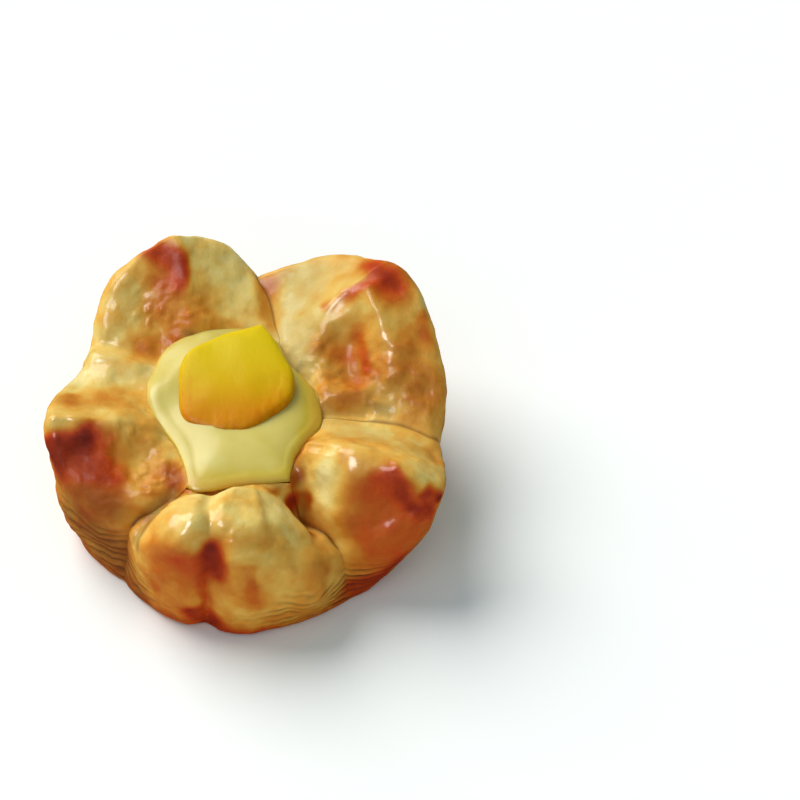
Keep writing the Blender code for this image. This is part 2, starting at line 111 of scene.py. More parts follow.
# Folds, scoops and swellings: start, end, width, power and the push on the line itself. A power near 1 leaves
# a fold with a sharp ridge and 2 a rounded swelling.
MARKS = (
    # right front petal: the fold along its crest, the steep front below and the round lobe by the custard
    ((30.0, -16.5, 33.5), (47.5, -24.0, 34.0), 6.0, 1.1, (0.0, 0.0, 3.0)),
    ((33.0, -25.0, 31.0), (40.0, -27.5, 30.0), 4.5, 2.0, (0.0, 1.2, -1.2)),
    ((24.5, -16.5, 33.0), (26.5, -19.0, 32.0), 6.5, 2.0, (-0.8, -0.8, 2.2)),
    # right back petal: the folded lip, the crest down its right side, the hollow and the roll at its foot
    ((38.0, 41.0, 45.0), (19.0, 29.5, 39.0), 4.2, 1.2, (0.0, -0.6, 3.4)),
    ((31.0, 31.0, 43.0), (38.0, 13.0, 35.0), 4.2, 1.2, (0.0, 0.0, 3.2)),
    ((25.0, 22.5, 36.0), (27.0, 16.5, 31.0), 6.0, 2.0, (1.0, 0.5, -4.4)),
    ((20.0, 10.0, 30.0), (29.0, 10.0, 30.0), 3.6, 2.0, (0.0, 0.0, 1.8)),
    ((19.5, 4.8, 29.5), (30.0, 4.8, 29.5), 1.8, 2.0, (0.0, 0.0, -1.6)),
    # left back petal: the fold down its middle, the hollow left of it and the dip beside the left petal
    ((-16.0, 48.0, 45.0), (-12.5, 30.0, 33.0), 6.0, 1.1, (0.0, 0.0, 3.0)),
    ((-27.0, 36.0, 38.0), (-22.0, 29.0, 34.0), 7.0, 2.0, (0.0, 0.0, -2.5)),
    ((-38.0, 27.5, 30.0), (-22.0, 22.5, 29.5), 2.6, 2.0, (0.0, 0.0, -1.4)),
    # left petal: its back shoulder, the fold from the tip to the custard and the steep front below it
    ((-37.0, 21.5, 31.0), (-27.0, 19.0, 30.5), 3.4, 2.0, (0.0, 0.0, 2.2)),
    ((-44.0, 21.0, 30.0), (-43.0, 14.0, 31.0), 5.0, 2.0, (1.5, 0.0, -2.0)),
    ((-31.0, -3.8, 33.0), (-49.0, -4.0, 36.0), 5.5, 1.1, (0.0, 0.0, 3.0)),
    ((-40.0, -11.0, 34.0), (-26.0, -11.5, 32.0), 5.0, 2.0, (0.0, 0.0, -1.8)),
    # front petal: the seam, the notch above it, the furrow behind and the lobes on both sides
    ((-7.0, -45.0, 27.0), (-9.4, -42.0, 1.0), 2.5, 1.2, (0.3, 3.2, 0.0)),
    ((-7.0, -40.0, 32.0), (-7.4, -46.0, 27.0), 4.2, 1.6, (0.0, 2.0, -3.8)),
    ((-6.5, -19.0, 32.0), (-7.0, -36.0, 34.0), 2.4, 1.4, (0.0, 0.0, -2.6)),
    ((-11.0, -27.0, 32.0), (-10.0, -36.0, 33.0), 8.0, 2.0, (-0.6, -1.2, 3.2)),
    ((-19.0, -31.0, 31.0), (-18.0, -35.0, 30.0), 4.5, 2.0, (-1.0, -0.5, 1.5)),
    ((2.0, -25.0, 34.0), (5.0, -34.0, 33.0), 7.5, 2.0, (0.0, 0.0, 2.0)),
    ((14.0, -37.0, 22.0), (16.5, -39.0, 12.0), 5.0, 2.0, (1.2, -1.2, 0.0)),
    # the cleft between the left and the front petal
    ((-16.5, -21.0, 28.0), (-25.5, -29.5, 22.0), 2.9, 1.6, (-0.5, 0.5, -3.3)),
    # the custard's bays in front and on the left, and the hole between the two front petals and the custard
    ((-10.0, -19.5, 29.5), (-7.5, -20.5, 29.5), 4.5, 2.0, (-0.4, -3.2, 0.0)),
    ((-22.0, 5.0, 29.5), (-19.0, 0.5, 29.5), 4.0, 2.0, (-1.4, -0.2, 0.0)),
    ((-18.0, -9.0, 29.5), (-15.5, -16.0, 29.5), 4.5, 2.0, (1.7, 0.5, 0.0)),
    ((19.0, 1.5, 29.5), (19.0, 0.5, 29.5), 4.0, 2.0, (1.5, -0.4, 0.0)),
    ((13.0, -20.5, 24.0), (15.5, -26.0, 21.0), 3.2, 1.8, (0.0, 0.0, -8.0)),
)

CUSTARD_RIM = 31.4
CUSTARD_TOP = 32.6
CUSTARD_INSET = 0.1
# How far the custard's rim swells out over the dough, and on which side most.
CUSTARD_OVER = 1.7
CUSTARD_OVER_AZIMUTH = 165.0
# Swellings of the custard's rim: start, end, width, power and push, as for the dough.
CUSTARD_MARKS = (
    ((-22.0, 8.0, 31.0), (-9.0, 26.0, 31.0), 4.5, 2.0, (0.0, 0.0, 1.6)),
    ((15.0, -12.0, 31.0), (19.0, 4.0, 31.0), 4.0, 2.0, (0.0, 0.0, -0.5)),
)
PEACH_CENTRE = (-2.2, 11.6, 32.2)
PEACH_RADIUS = 13.2
# The corners of its outline: azimuth, reach, width in degrees and power. A power near 1 is a sharp corner.
PEACH_CORNERS = (
    (67.0, 4.4, 18.0, 1.3),
    (158.0, 1.0, 25.0, 2.0),
    (226.0, 3.4, 28.0, 2.0),
    (275.0, 2.2, 28.0, 2.0),
    (340.0, 2.0, 34.0, 2.0),
)
# Slopes towards +X and +Y.
PEACH_TILT = (0.05, 0.11)
PEACH_ABOVE = 3.6
PEACH_BELOW = 2.8
PEACH_SQUARENESS = 0.42


def puff(u, power, pinch):
    """1 on the ridge of a petal and 0 in the creases beside it, which close up or open out with the pinch."""
    out = np.clip(np.abs(u), 0.0, 1.0)
    plain = 1.0 - out**power
    swollen = np.sqrt(1.0 - out**SWELL_POWER)
    dipped = 0.5 + 0.5 * np.cos(math.pi * out ** (SOFT_SHARE * power))
    swelling = SWELL * np.maximum(pinch, 0.0) * (swollen - plain)
    dipping = SOFT * np.maximum(-pinch, 0.0) * (dipped - plain)
    return plain + swelling + dipping


def wall_radius(foot, rim, share, bulge):
    lean = math.sin(0.5 * math.pi * share) if rim > foot else share**LEAN_POWER
    return foot + (rim - foot) * lean + bulge * math.sin(math.pi * share)


def section(sizes, rim, bulge):
    """Stations of one radial section, from the flat base up the wall, over the rim and in to the middle."""
    foot = sizes["foot"]
    edge = sizes["edge"]
    radius, height = rim
    walls = [(wall_radius(foot, radius, share, bulge), share * height) for share in WALL_SHARES]
    return np.array(
        [(foot - FOOT_FLAT, 0.0), (foot, FOOT_ROUND)]
        + walls
        + [(radius - TIP_ROUND, height), sizes["mid"], sizes["lip"]]
        + [(edge, EDGE_HEIGHT), (edge - POCKET_WALL[0], POCKET_WALL[1])]
        + [(POCKET_SHARE * edge, POCKET_HEIGHT), (0.0, POCKET_HEIGHT)]
    )


def azimuth_share(station):
    """0 at the custard's edge and 1 from the rim outwards."""
    share = (EDGE_STATION - station) / (EDGE_STATION - RIM_STATION)
    return min(max(share, 0.0), 1.0)


def turned(sizes, share):
    return sizes["inner_azimuth"] + (sizes["outer_azimuth"] - sizes["inner_azimuth"]) * share


def stations(index, u):
    """Radius, height and azimuth of every station; u is -1 in the crease before the petal and 1 after it."""
    petal = PETALS[index]
    before = CREASES[index - 1]
    after = CREASES[index]
    ridge = section(petal, petal["tip"], petal["bulge"])
    side_before = section(before, before["rim"], 0.0)
    side_after = section(after, after["rim"], 0.0)
    sides = np.where(u[:, None, None] < 0.0, side_before, side_after)
    radius = np.empty((len(u), STATIONS))
    height = np.empty((len(u), STATIONS))
    azimuth = np.empty((len(u), STATIONS))
    for k, (power_r, power_z) in enumerate(PUFFS):
        full = np.where(u < 0.0, *petal["full"]) if k > FOOT_STATION else 1.0
        level = np.where(u < 0.0, *petal["round"]) if k > FOOT_STATION else 1.0
        share = azimuth_share(k)
        outer = np.where(u < 0.0, before["pinch"][0], after["pinch"][0])
        inner = np.where(u < 0.0, before["pinch"][1], after["pinch"][1])
        pinch = PINCHES[k] * (inner + (outer - inner) * share)
        if k <= FOOT_STATION:
            pinch = np.minimum(pinch, 0.0)
        side_radius, side_height = sides[:, k, 0], sides[:, k, 1]
        radius[:, k] = side_radius + (ridge[k, 0] - side_radius) * puff(u, power_r * full, pinch)
        height[:, k] = side_height + (ridge[k, 1] - side_height) * puff(u, power_z * level, pinch)
        here = petal["inner_azimuth"] + (petal["azimuth"] - petal["inner_azimuth"]) * share
        back = (here - turned(before, share)) % 360.0
        ahead = (turned(after, share) - here) % 360.0
        azimuth[:, k] = here + np.where(u < 0.0, back, ahead) * u
    return radius, height, azimuth


def slopes(values):
    """Slopes that keep a cubic curve through the stations from overshooting them."""
    steps = np.diff(values, axis=1)
    a = steps[:, :-1]
    b = steps[:, 1:]
    total = a + b
    safe = np.where(np.abs(total) < 1e-9, 1.0, total)
    inner = np.where(a * b > 0.0, 2.0 * a * b / safe, 0.0)
    return np.concatenate([steps[:, :1], inner, steps[:, -1:]], axis=1)


def along(values, s):
    """The smooth curve through the stations, at the places s."""
    k = np.clip(s.astype(int), 0, values.shape[1] - 2)
    t = s - k
    d = slopes(values)
    return (
        (2 * t**3 - 3 * t**2 + 1) * values[:, k]
        + (t**3 - 2 * t**2 + t) * d[:, k]
        + (3 * t**2 - 2 * t**3) * values[:, k + 1]
        + (t**3 - t**2) * d[:, k + 1]
    )


def distance(points, start, end):
    """Distance of each point from a line from start to end, in millimetres."""
    a = np.array(start)
    line = np.array(end) - a
    share = np.clip((points - a) @ line / max(line @ line, 1e-9), 0.0, 1.0)
    return np.linalg.norm(points - a - share[..., None] * line, axis=-1)


def pressed(points, marks):
    """The points with every mark pushed in, fading out with distance from the mark's line."""
    moved = points.copy()
    for start, end, width, power, push in marks:
        strength = np.exp(-((distance(points, start, end) / width) ** power))
        moved += strength[..., None] * np.array(push)
    moved[..., 2] = np.where(points[..., 2] <= 0.0, 0.0, np.maximum(moved[..., 2], LEAST_HEIGHT))
    return moved


def peach_outline(turn):
    """Radius of the peach wedge seen from above: a disc with one sharp corner and some blunt ones."""
    outline = np.full(len(turn), PEACH_RADIUS)
    for azimuth, reach, width, power in PEACH_CORNERS:
        off = np.abs((np.degrees(turn) - azimuth + 180.0) % 360.0 - 180.0)
        outline += reach * np.exp(-((off / width) ** power))
    return outline


def spread(count):
    """Places from -1 to just under 1, closer together towards the creases."""
    x = np.arange(count) / count * 2.0 - 1.0
    return np.sin(0.5 * math.pi * x) * CROWDING + x * (1.0 - CROWDING)


def polar_grid(columns, s):
    """Radius, height and azimuth round the whole case, one row per place s and one column per azimuth."""
    u = spread(columns)
    parts = [[along(values, s).T for values in stations(i, u)] for i in range(len(PETALS))]
    return [np.concatenate(values, axis=1) for values in zip(*parts)]


def points_of(radius, height, azimuth):
    turn = np.radians(azimuth)
    return np.stack([radius * np.cos(turn), radius * np.sin(turn), height], axis=-1)


# ---------------------------------------------------------------- noise and grids

NOISE_GAIN = 1.4
NEAR_POWER = 3


def lattice(x, y, z, seed):
    """A repeatable number from -1 to 1 for each whole-numbered place."""
    h = (x * 374761393 + y * 668265263 + z * 1440662683 + seed * 974634777) & 0xFFFFFFFF
    h = ((h ^ (h >> 13)) * 1274126177) & 0xFFFFFFFF
    return ((h ^ (h >> 16)) & 0xFFFF) / 32767.5 - 1.0


def noise(points, spacing, seed):
    """Smooth noise from about -1 to 1, with bumps a spacing apart. The spacing may be one per axis."""
    p = points / np.array(spacing, float)
    cell = np.floor(p).astype(np.int64)
    f = p - cell
    f = f * f * f * (f * (f * 6.0 - 15.0) + 10.0)
    total = 0.0
    for corner in np.ndindex(2, 2, 2):
        weight = np.prod(np.where(corner, f, 1.0 - f), axis=-1)
        total = total + weight * lattice(*np.moveaxis(cell + corner, -1, 0), seed)
    return total * NOISE_GAIN


def waves(points, sizes, seed):
    """Noises added up, one for each height and spacing in sizes."""
    return sum(height * noise(points, spacing, seed + k) for k, (height, spacing) in enumerate(sizes))


def clamped(values):
    return np.clip(values, 0.0, 1.0)


def rising(values, start, length):
    """0 up to the start, then rising evenly to 1 over the length."""
    return clamped((values - start) / length)


def nearness(points, start, end, width):
    """1 on the line from start to end, and next to nothing beyond about a width from it."""
    return np.exp(-((distance(points, start, end) / width) ** NEAR_POWER))


def normals_of(grid):
    """Outward unit normals of a grid of points that closes round its columns."""
    around = np.roll(grid, -1, axis=1) - np.roll(grid, 1, axis=1)
    up = np.gradient(grid, axis=0)
    cross = np.cross(around, up)
    return cross / np.maximum(np.linalg.norm(cross, axis=-1, keepdims=True), 1e-9)


def closed_mesh(name, grid, bottom, top, attributes, material):
    """A mesh from rows of points, closed by a point at each end, with one float attribute per name."""
    rows, columns = grid.shape[:2]
    points = np.concatenate([grid.reshape(-1, 3), [bottom], [top]]) * MM
    index = np.arange(rows * columns).reshape(rows, columns)
    right = np.roll(index, -1, axis=1)
    quads = np.stack([index[:-1], right[:-1], right[1:], index[1:]], axis=-1).reshape(-1, 4)
    low = np.stack([right[0], index[0], np.full(columns, rows * columns)], axis=-1)
    high = np.stack([index[-1], right[-1], np.full(columns, rows * columns + 1)], axis=-1)
    mesh = bpy.data.meshes.new(name)
    mesh.from_pydata(points.tolist(), [], quads.tolist() + low.tolist() + high.tolist())
    for key, values in attributes.items():
        flat = np.concatenate([values.reshape(-1), [values[0].mean(), values[-1].mean()]])
        layer = mesh.attributes.new(key, "FLOAT", "POINT")
        layer.data.foreach_set("value", flat.astype(np.float32))
    mesh.polygons.foreach_set("use_smooth", [True] * len(mesh.polygons))
    mesh.materials.append(material)
    piece = bpy.data.objects.new(name, mesh)
    bpy.context.scene.collection.objects.link(piece)
    return piece


# ---------------------------------------------------------------- materials


def srgb(red, green, blue):
    """A colour given as 0 to 255 screen values, made linear."""
    shares = [v / 255.0 for v in (red, green, blue)]
    return (*[v / 12.92 if v <= 0.04045 else ((v + 0.055) / 1.055) ** 2.4 for v in shares], 1.0)


class Nodes:
    """A material's node tree, with short ways to add the nodes used here."""

    def __init__(self, name):
        self.material = bpy.data.materials.new(name)
        self.material.use_nodes = True
        self.tree = self.material.node_tree
        self.shader = self.tree.nodes["Principled BSDF"]
        self.place = self.tree.nodes.new("ShaderNodeTexCoord").outputs["Object"]

    def link(self, source, target):
        self.tree.links.new(source, target)

    def fill(self, socket, value):
        """Gives a socket a constant, or links it to another node's output."""
        if isinstance(value, (int, float, tuple)):
            socket.default_value = value
        else:
            self.link(value, socket)

    def attribute(self, name):
        node = self.tree.nodes.new("ShaderNodeAttribute")
        node.attribute_name = name
        return node.outputs["Fac"]

    def noise(self, spacing, detail=3.0, roughness=0.5, stretch=(1.0, 1.0, 1.0), distortion=0.0):
        """Noise from 0 to 1, with bumps a spacing of millimetres apart."""
        mapping = self.tree.nodes.new("ShaderNodeMapping")
        mapping.inputs["Scale"].default_value = stretch
        self.link(self.place, mapping.inputs["Vector"])
        node = self.tree.nodes.new("ShaderNodeTexNoise")
        node.inputs["Scale"].default_value = 1.0 / (spacing * MM)
        node.inputs["Detail"].default_value = detail
        node.inputs["Roughness"].default_value = roughness
        node.inputs["Distortion"].default_value = distortion
        self.link(mapping.outputs["Vector"], node.inputs["Vector"])
        return node.outputs["Fac"]

    def ripple(self, *sizes, **more):
        """The same noise, from -0.5 to 0.5."""
        return self.math("SUBTRACT", self.noise(*sizes, **more), 0.5)

    def math(self, operation, a, b, clamp=False):
        node = self.tree.nodes.new("ShaderNodeMath")
        node.operation = operation
        node.use_clamp = clamp
        self.fill(node.inputs[0], a)
        self.fill(node.inputs[1], b)
        return node.outputs["Value"]

    def ramp(self, factor, stops):
        node = self.tree.nodes.new("ShaderNodeValToRGB")
        while len(node.color_ramp.elements) < len(stops):
            node.color_ramp.elements.new(0.5)
        for element, (place, colour) in zip(node.color_ramp.elements, stops):
            element.position = place
            element.color = colour
        self.link(factor, node.inputs["Fac"])
        return node.outputs["Color"]

    def mix(self, factor, a, b):
        node = self.tree.nodes.new("ShaderNodeMix")
        node.data_type = "RGBA"
        factor_in, a_in, b_in = node.inputs[0], node.inputs[6], node.inputs[7]
        for socket, value in ((factor_in, factor), (a_in, a), (b_in, b)):
            self.fill(socket, value)
        return node.outputs[2]

    def bump(self, height, distance_mm, strength, under=None):
        node = self.tree.nodes.new("ShaderNodeBump")
        node.inputs["Strength"].default_value = strength
        node.inputs["Distance"].default_value = distance_mm * MM
        self.link(height, node.inputs["Height"])
        if under is not None:
            self.link(under, node.inputs["Normal"])
        return node.outputs["Normal"]

    def set(self, **values):
        """Sets the shader's sockets, each named in lower case, such as coat_roughness for Coat Roughness."""
        for name, value in values.items():
            self.shader.inputs[name.replace("_", " ").title().replace("Ior", "IOR")].default_value = value


# Dough from pale to scorched, by how far it is baked.
BAKED_COLOURS = (
    (0.00, srgb(240, 220, 150)),
    (0.15, srgb(234, 202, 114)),
    (0.30, srgb(228, 174, 76)),
    (0.45, srgb(216, 142, 46)),
    (0.60, srgb(200, 104, 22)),
    (0.75, srgb(196, 70, 10)),
    (0.88, srgb(160, 42, 6)),
    (1.00, srgb(104, 22, 8)),
)
# Dark brown for painted shade and browning in creases, clefts and the gaps between layers.
CREASE_SHADE_COLOUR = srgb(94, 46, 18)
CREASE_SHADE_MIX = 0.7
# Custard from its own pale yellow to the deeper yellow painted for shade.
CUSTARD_AND_SHADE_COLOURS = ((0.15, srgb(214, 197, 106)), (0.45, srgb(204, 180, 58)), (0.90, srgb(206, 156, 42)))
PEACH_COLOURS = (
    (0.0, srgb(216, 190, 20)),
    (0.3, srgb(214, 176, 10)),
    (0.6, srgb(210, 144, 4)),
    (1.0, srgb(204, 112, 2)),
)
PAPER_COLOUR = (0.97, 0.97, 0.97, 1.0)


def dough_material():
    """Baked dough under egg wash: coloured by the bake attribute, darkened by the crease attribute with
    painted shade and browning, and coated by the glaze one.
    """
    n = Nodes("glazed_baked_dough")
    blotch = n.math("MULTIPLY", n.ripple(6.0, detail=4.0, roughness=0.6), 0.12)
    grain = n.math("MULTIPLY", n.ripple(1.3, detail=3.0, roughness=0.6), 0.10)
    bake = n.math("ADD", n.math("ADD", n.attribute("bake"), blotch), grain, clamp=True)
    # Painted shade: the crease attribute mixes the colour towards dark brown.
    crease = n.math("MULTIPLY", n.attribute("crease"), CREASE_SHADE_MIX)
    n.link(n.mix(crease, n.ramp(bake, BAKED_COLOURS), CREASE_SHADE_COLOUR), n.shader.inputs["Base Color"])
    pores = n.bump(n.noise(0.9, detail=3.0, roughness=0.6), 0.10, 0.8)
    skin = n.bump(n.noise(3.2, detail=4.0, roughness=0.6), 0.35, 0.8, under=pores)
    n.link(skin, n.shader.inputs["Normal"])
    rough = n.math("ADD", n.math("MULTIPLY", n.noise(4.0), 0.3), 0.4)
    n.link(rough, n.shader.inputs["Roughness"])
    n.link(n.attribute("glaze"), n.shader.inputs["Coat Weight"])
    n.set(coat_roughness=0.2, coat_ior=1.5, specular_ior_level=0.1, subsurface_weight=0.12,
          subsurface_radius=(1.0, 0.45, 0.15), subsurface_scale=0.002)
    return n.material


def custard_material():
    """Smooth custard, painted a deeper, darker yellow as shade where the low attribute is high."""
    n = Nodes("custard")
    drift = n.math("MULTIPLY", n.noise(9.0, detail=2.0), 0.4)
    # Painted shade: the low attribute turns the custard a deeper, darker yellow.
    tone = n.math("ADD", drift, n.math("MULTIPLY", n.attribute("low"), 0.7))
    n.link(n.ramp(tone, CUSTARD_AND_SHADE_COLOURS), n.shader.inputs["Base Color"])
    n.link(n.bump(n.noise(5.0, detail=2.0), 0.25, 0.5), n.shader.inputs["Normal"])
    n.set(roughness=0.38, coat_weight=0.2, coat_roughness=0.2, subsurface_weight=0.35,
          subsurface_radius=(1.0, 0.75, 0.3), subsurface_scale=0.003)
    return n.material


def peach_material():
    """Wet fruit flesh, from yellow to orange with the ripe attribute and streaked by its fibres."""
    n = Nodes("peach_flesh")
    fibres = n.ripple(1.6, detail=4.0, roughness=0.6, stretch=(1.0, 0.35, 1.0), distortion=0.6)
    streaks = n.math("MULTIPLY", fibres, n.attribute("fibre"))
    ripe = n.math("ADD", n.attribute("ripe"), streaks, clamp=True)
    n.link(n.ramp(ripe, PEACH_COLOURS), n.shader.inputs["Base Color"])
    n.link(n.bump(fibres, 0.2, 0.5), n.shader.inputs["Normal"])
    n.set(roughness=0.5, coat_weight=0.04, coat_roughness=0.12, specular_ior_level=0.06,
          subsurface_weight=0.35, subsurface_radius=(1.0, 0.6, 0.06), subsurface_scale=0.003)
    return n.material


# ---------------------------------------------------------------- the dough case

CASE_COLUMNS = 112
CASE_ROWS = 160
POCKET_ROWS = 6
# Columns and rows of the coarse grid that measures how far apart rows lie, and the least step between two.
PLACE_SAMPLES = (12, 200)
PLACE_LEAST_STEP = 0.02
BASE_RINGS = (0.33, 0.66)
LIP_PLACE = EDGE_STATION + 0.3

# Sides that a patch can stop at: a point on the border, and the direction that the patch lies in.
LEFT_OF_FOLD = ((-13.6, 40.0), (-1.0, -0.1))
FRONT_OF_LEFT_FOLD = ((-35.0, -4.6), (0.03, -1.0))
FRONT_OF_RIGHT_FOLD = ((34.0, -18.2), (-0.47, -0.88))
EVERYWHERE = ((0.0, 0.0), (0.0, 0.0))

# Where the crust is more or less baked: start, end, width, bake level there, and the side it stops at.
BAKES = (
    # left back petal: tan flank, inner face, scorched cap, orange rolls, pale dip beside the left petal
    ((-26.0, 40.0, 39.0), (-34.0, 26.0, 31.0), 8.0, 0.24, EVERYWHERE),
    ((-5.0, 44.0, 39.0), (-2.0, 35.0, 32.0), 8.5, 0.20, EVERYWHERE),
    ((-20.0, 42.0, 42.0), (-17.0, 36.0, 36.0), 6.5, 0.52, LEFT_OF_FOLD),
    ((-21.5, 44.0, 43.8), (-16.0, 41.5, 41.5), 4.8, 0.88, LEFT_OF_FOLD),
    ((-12.0, 35.0, 36.0), (-10.0, 31.0, 33.0), 3.5, 0.40, EVERYWHERE),
    ((-23.0, 34.0, 34.0), (-17.0, 31.0, 32.0), 4.8, 0.44, EVERYWHERE),
    ((-11.0, 31.0, 32.0), (-4.0, 31.0, 31.0), 3.5, 0.38, EVERYWHERE),
    ((-25.0, 24.8, 30.0), (-19.5, 24.0, 29.8), 4.2, 0.54, EVERYWHERE),
    ((-43.0, 14.0, 31.0), (-24.0, 16.0, 29.6), 5.0, 0.10, EVERYWHERE),
    # fold between the two back petals
    ((5.7, 43.0, 34.0), (7.2, 33.5, 30.0), 3.2, 0.60, EVERYWHERE),
    # right back petal: pale flank, orange hollow, tan roll, furrow, right side, scorched tip and folded lip
    ((15.0, 41.0, 38.0), (13.0, 24.0, 32.0), 8.0, 0.10, EVERYWHERE),
    ((22.0, 21.5, 34.5), (27.0, 15.5, 31.0), 5.0, 0.48, EVERYWHERE),
    ((22.0, 13.0, 31.0), (35.0, 11.0, 32.0), 6.0, 0.43, EVERYWHERE),
    ((29.0, 24.5, 37.0), (29.9, 16.5, 31.5), 2.0, 0.54, EVERYWHERE),
    ((42.5, 21.0, 38.0), (46.0, 8.0, 31.0), 7.0, 0.46, EVERYWHERE),
    ((45.2, 26.5, 41.0), (45.8, 23.0, 39.5), 2.3, 0.70, EVERYWHERE),
    ((30.0, 27.5, 42.0), (36.0, 22.5, 40.5), 3.0, 0.27, EVERYWHERE),
    ((34.5, 36.0, 46.0), (36.0, 32.0, 44.5), 5.2, 0.62, EVERYWHERE),
    ((32.5, 38.5, 46.5), (36.0, 35.0, 46.0), 4.3, 0.84, EVERYWHERE),
    ((31.5, 33.0, 45.0), (25.0, 31.0, 42.5), 2.6, 0.76, EVERYWHERE),
    ((22.0, 31.5, 41.0), (20.5, 30.5, 40.0), 1.6, 0.60, EVERYWHERE),
    ((43.0, 3.0, 29.0), (46.0, -6.0, 28.0), 5.0, 0.42, EVERYWHERE),
    # right front petal: pale top and lobe, scorched front, orange-brown wall and dark flaky foot
    ((24.0, -5.0, 30.5), (42.0, -8.0, 31.0), 6.5, 0.27, EVERYWHERE),
    ((22.5, -14.0, 34.0), (21.0, -22.5, 29.0), 5.0, 0.10, EVERYWHERE),
    ((19.0, -27.0, 24.0), (23.5, -30.0, 14.0), 5.0, 0.34, EVERYWHERE),
    ((31.0, -29.0, 19.0), (41.0, -29.0, 14.0), 6.5, 0.56, EVERYWHERE),
    ((32.0, -25.0, 31.0), (43.0, -26.5, 27.0), 7.4, 0.65, FRONT_OF_RIGHT_FOLD),
    ((37.0, -25.0, 30.0), (43.0, -27.5, 26.0), 6.0, 0.70, FRONT_OF_RIGHT_FOLD),
    ((35.5, -21.8, 36.0), (40.0, -23.3, 34.5), 4.0, 0.82, FRONT_OF_RIGHT_FOLD),
    ((44.0, -24.8, 31.5), (46.0, -26.5, 28.0), 3.6, 0.90, FRONT_OF_RIGHT_FOLD),
    ((45.5, -23.4, 33.0), (47.5, -23.4, 31.5), 1.6, 0.95, EVERYWHERE),
    ((34.0, -28.0, 22.0), (41.0, -29.0, 19.0), 6.5, 0.68, EVERYWHERE),
    ((28.0, -32.0, 3.0), (36.0, -29.0, 8.0), 3.2, 0.84, EVERYWHERE),
    ((34.0, -29.0, 6.0), (40.0, -28.5, 14.0), 3.0, 0.80, EVERYWHERE),
    # left petal: orange top, scorched front under the fold, brown wall, tan inner side
    ((-42.5, 3.5, 33.4), (-30.0, 6.0, 32.0), 4.6, 0.42, EVERYWHERE),
    ((-43.0, -13.5, 29.5), (-35.0, -14.0, 29.0), 7.6, 0.83, FRONT_OF_LEFT_FOLD),
    ((-47.0, -8.5, 34.5), (-38.5, -8.5, 33.5), 5.2, 0.93, FRONT_OF_LEFT_FOLD),
    ((-48.0, -9.0, 33.0), (-44.0, -18.0, 27.0), 3.2, 0.92, FRONT_OF_LEFT_FOLD),
    ((-39.0, -21.5, 20.0), (-33.0, -24.0, 12.0), 7.0, 0.60, EVERYWHERE),
    ((-41.0, -19.0, 25.0), (-32.0, -21.5, 23.5), 4.5, 0.64, EVERYWHERE),
    ((-25.0, -8.0, 32.0), (-22.0, -18.0, 29.5), 5.0, 0.42, EVERYWHERE),
    ((-27.5, -24.0, 22.0), (-27.5, -26.0, 14.0), 4.0, 0.46, EVERYWHERE),
    ((-17.5, -13.5, 30.0), (-15.5, -18.0, 29.0), 2.4, 0.56, EVERYWHERE),
    # front petal: pale lobes, scorched notch with an orange band beside it, seam browned and painted dark as
    # shade, patches and dark foot
    ((-14.0, -27.0, 33.0), (8.0, -27.0, 34.0), 6.0, 0.16, EVERYWHERE),
    ((8.0, -40.0, 26.0), (14.0, -40.0, 20.0), 7.0, 0.41, EVERYWHERE),
    ((-4.0, -39.0, 32.0), (9.0, -36.0, 30.5), 2.8, 0.44, EVERYWHERE),
    ((-18.0, -40.0, 11.0), (10.0, -43.0, 8.0), 4.5, 0.50, EVERYWHERE),
    ((-17.5, -40.0, 24.5), (-7.0, -42.0, 22.0), 6.8, 0.62, EVERYWHERE),
    ((-14.0, -41.0, 27.5), (-6.5, -41.0, 26.5), 4.6, 0.80, EVERYWHERE),
    ((-6.2, -40.0, 28.0), (-6.4, -42.0, 23.5), 3.4, 0.94, EVERYWHERE),
    ((-7.6, -42.5, 22.0), (-9.3, -41.5, 9.0), 1.8, 0.80, EVERYWHERE),
    ((-12.5, -42.0, 9.0), (-8.0, -41.0, 3.0), 3.8, 0.90, EVERYWHERE),
    ((1.5, -43.5, 27.0), (4.2, -44.6, 14.0), 3.0, 0.58, EVERYWHERE),
    ((3.5, -44.3, 22.0), (3.8, -44.5, 17.0), 2.2, 0.68, EVERYWHERE),
    ((7.0, -43.0, 2.0), (-5.0, -42.0, 2.0), 2.6, 0.80, EVERYWHERE),
    ((-22.6, -37.0, 13.5), (-18.6, -40.0, 12.0), 3.5, 0.56, EVERYWHERE),
    # the hole between the two front petals, painted near-black as shade, and the crust round the custard,
    # browned and painted darker as shade in its gaps
    ((14.2, -21.0, 25.0), (15.5, -26.0, 21.0), 2.8, 0.95, EVERYWHERE),
    ((-14.0, -21.5, 29.5), (11.0, -19.5, 29.5), 1.8, 0.60, EVERYWHERE),
    ((13.8, -16.5, 28.5), (15.6, -6.0, 31.0), 2.2, 0.64, EVERYWHERE),
)
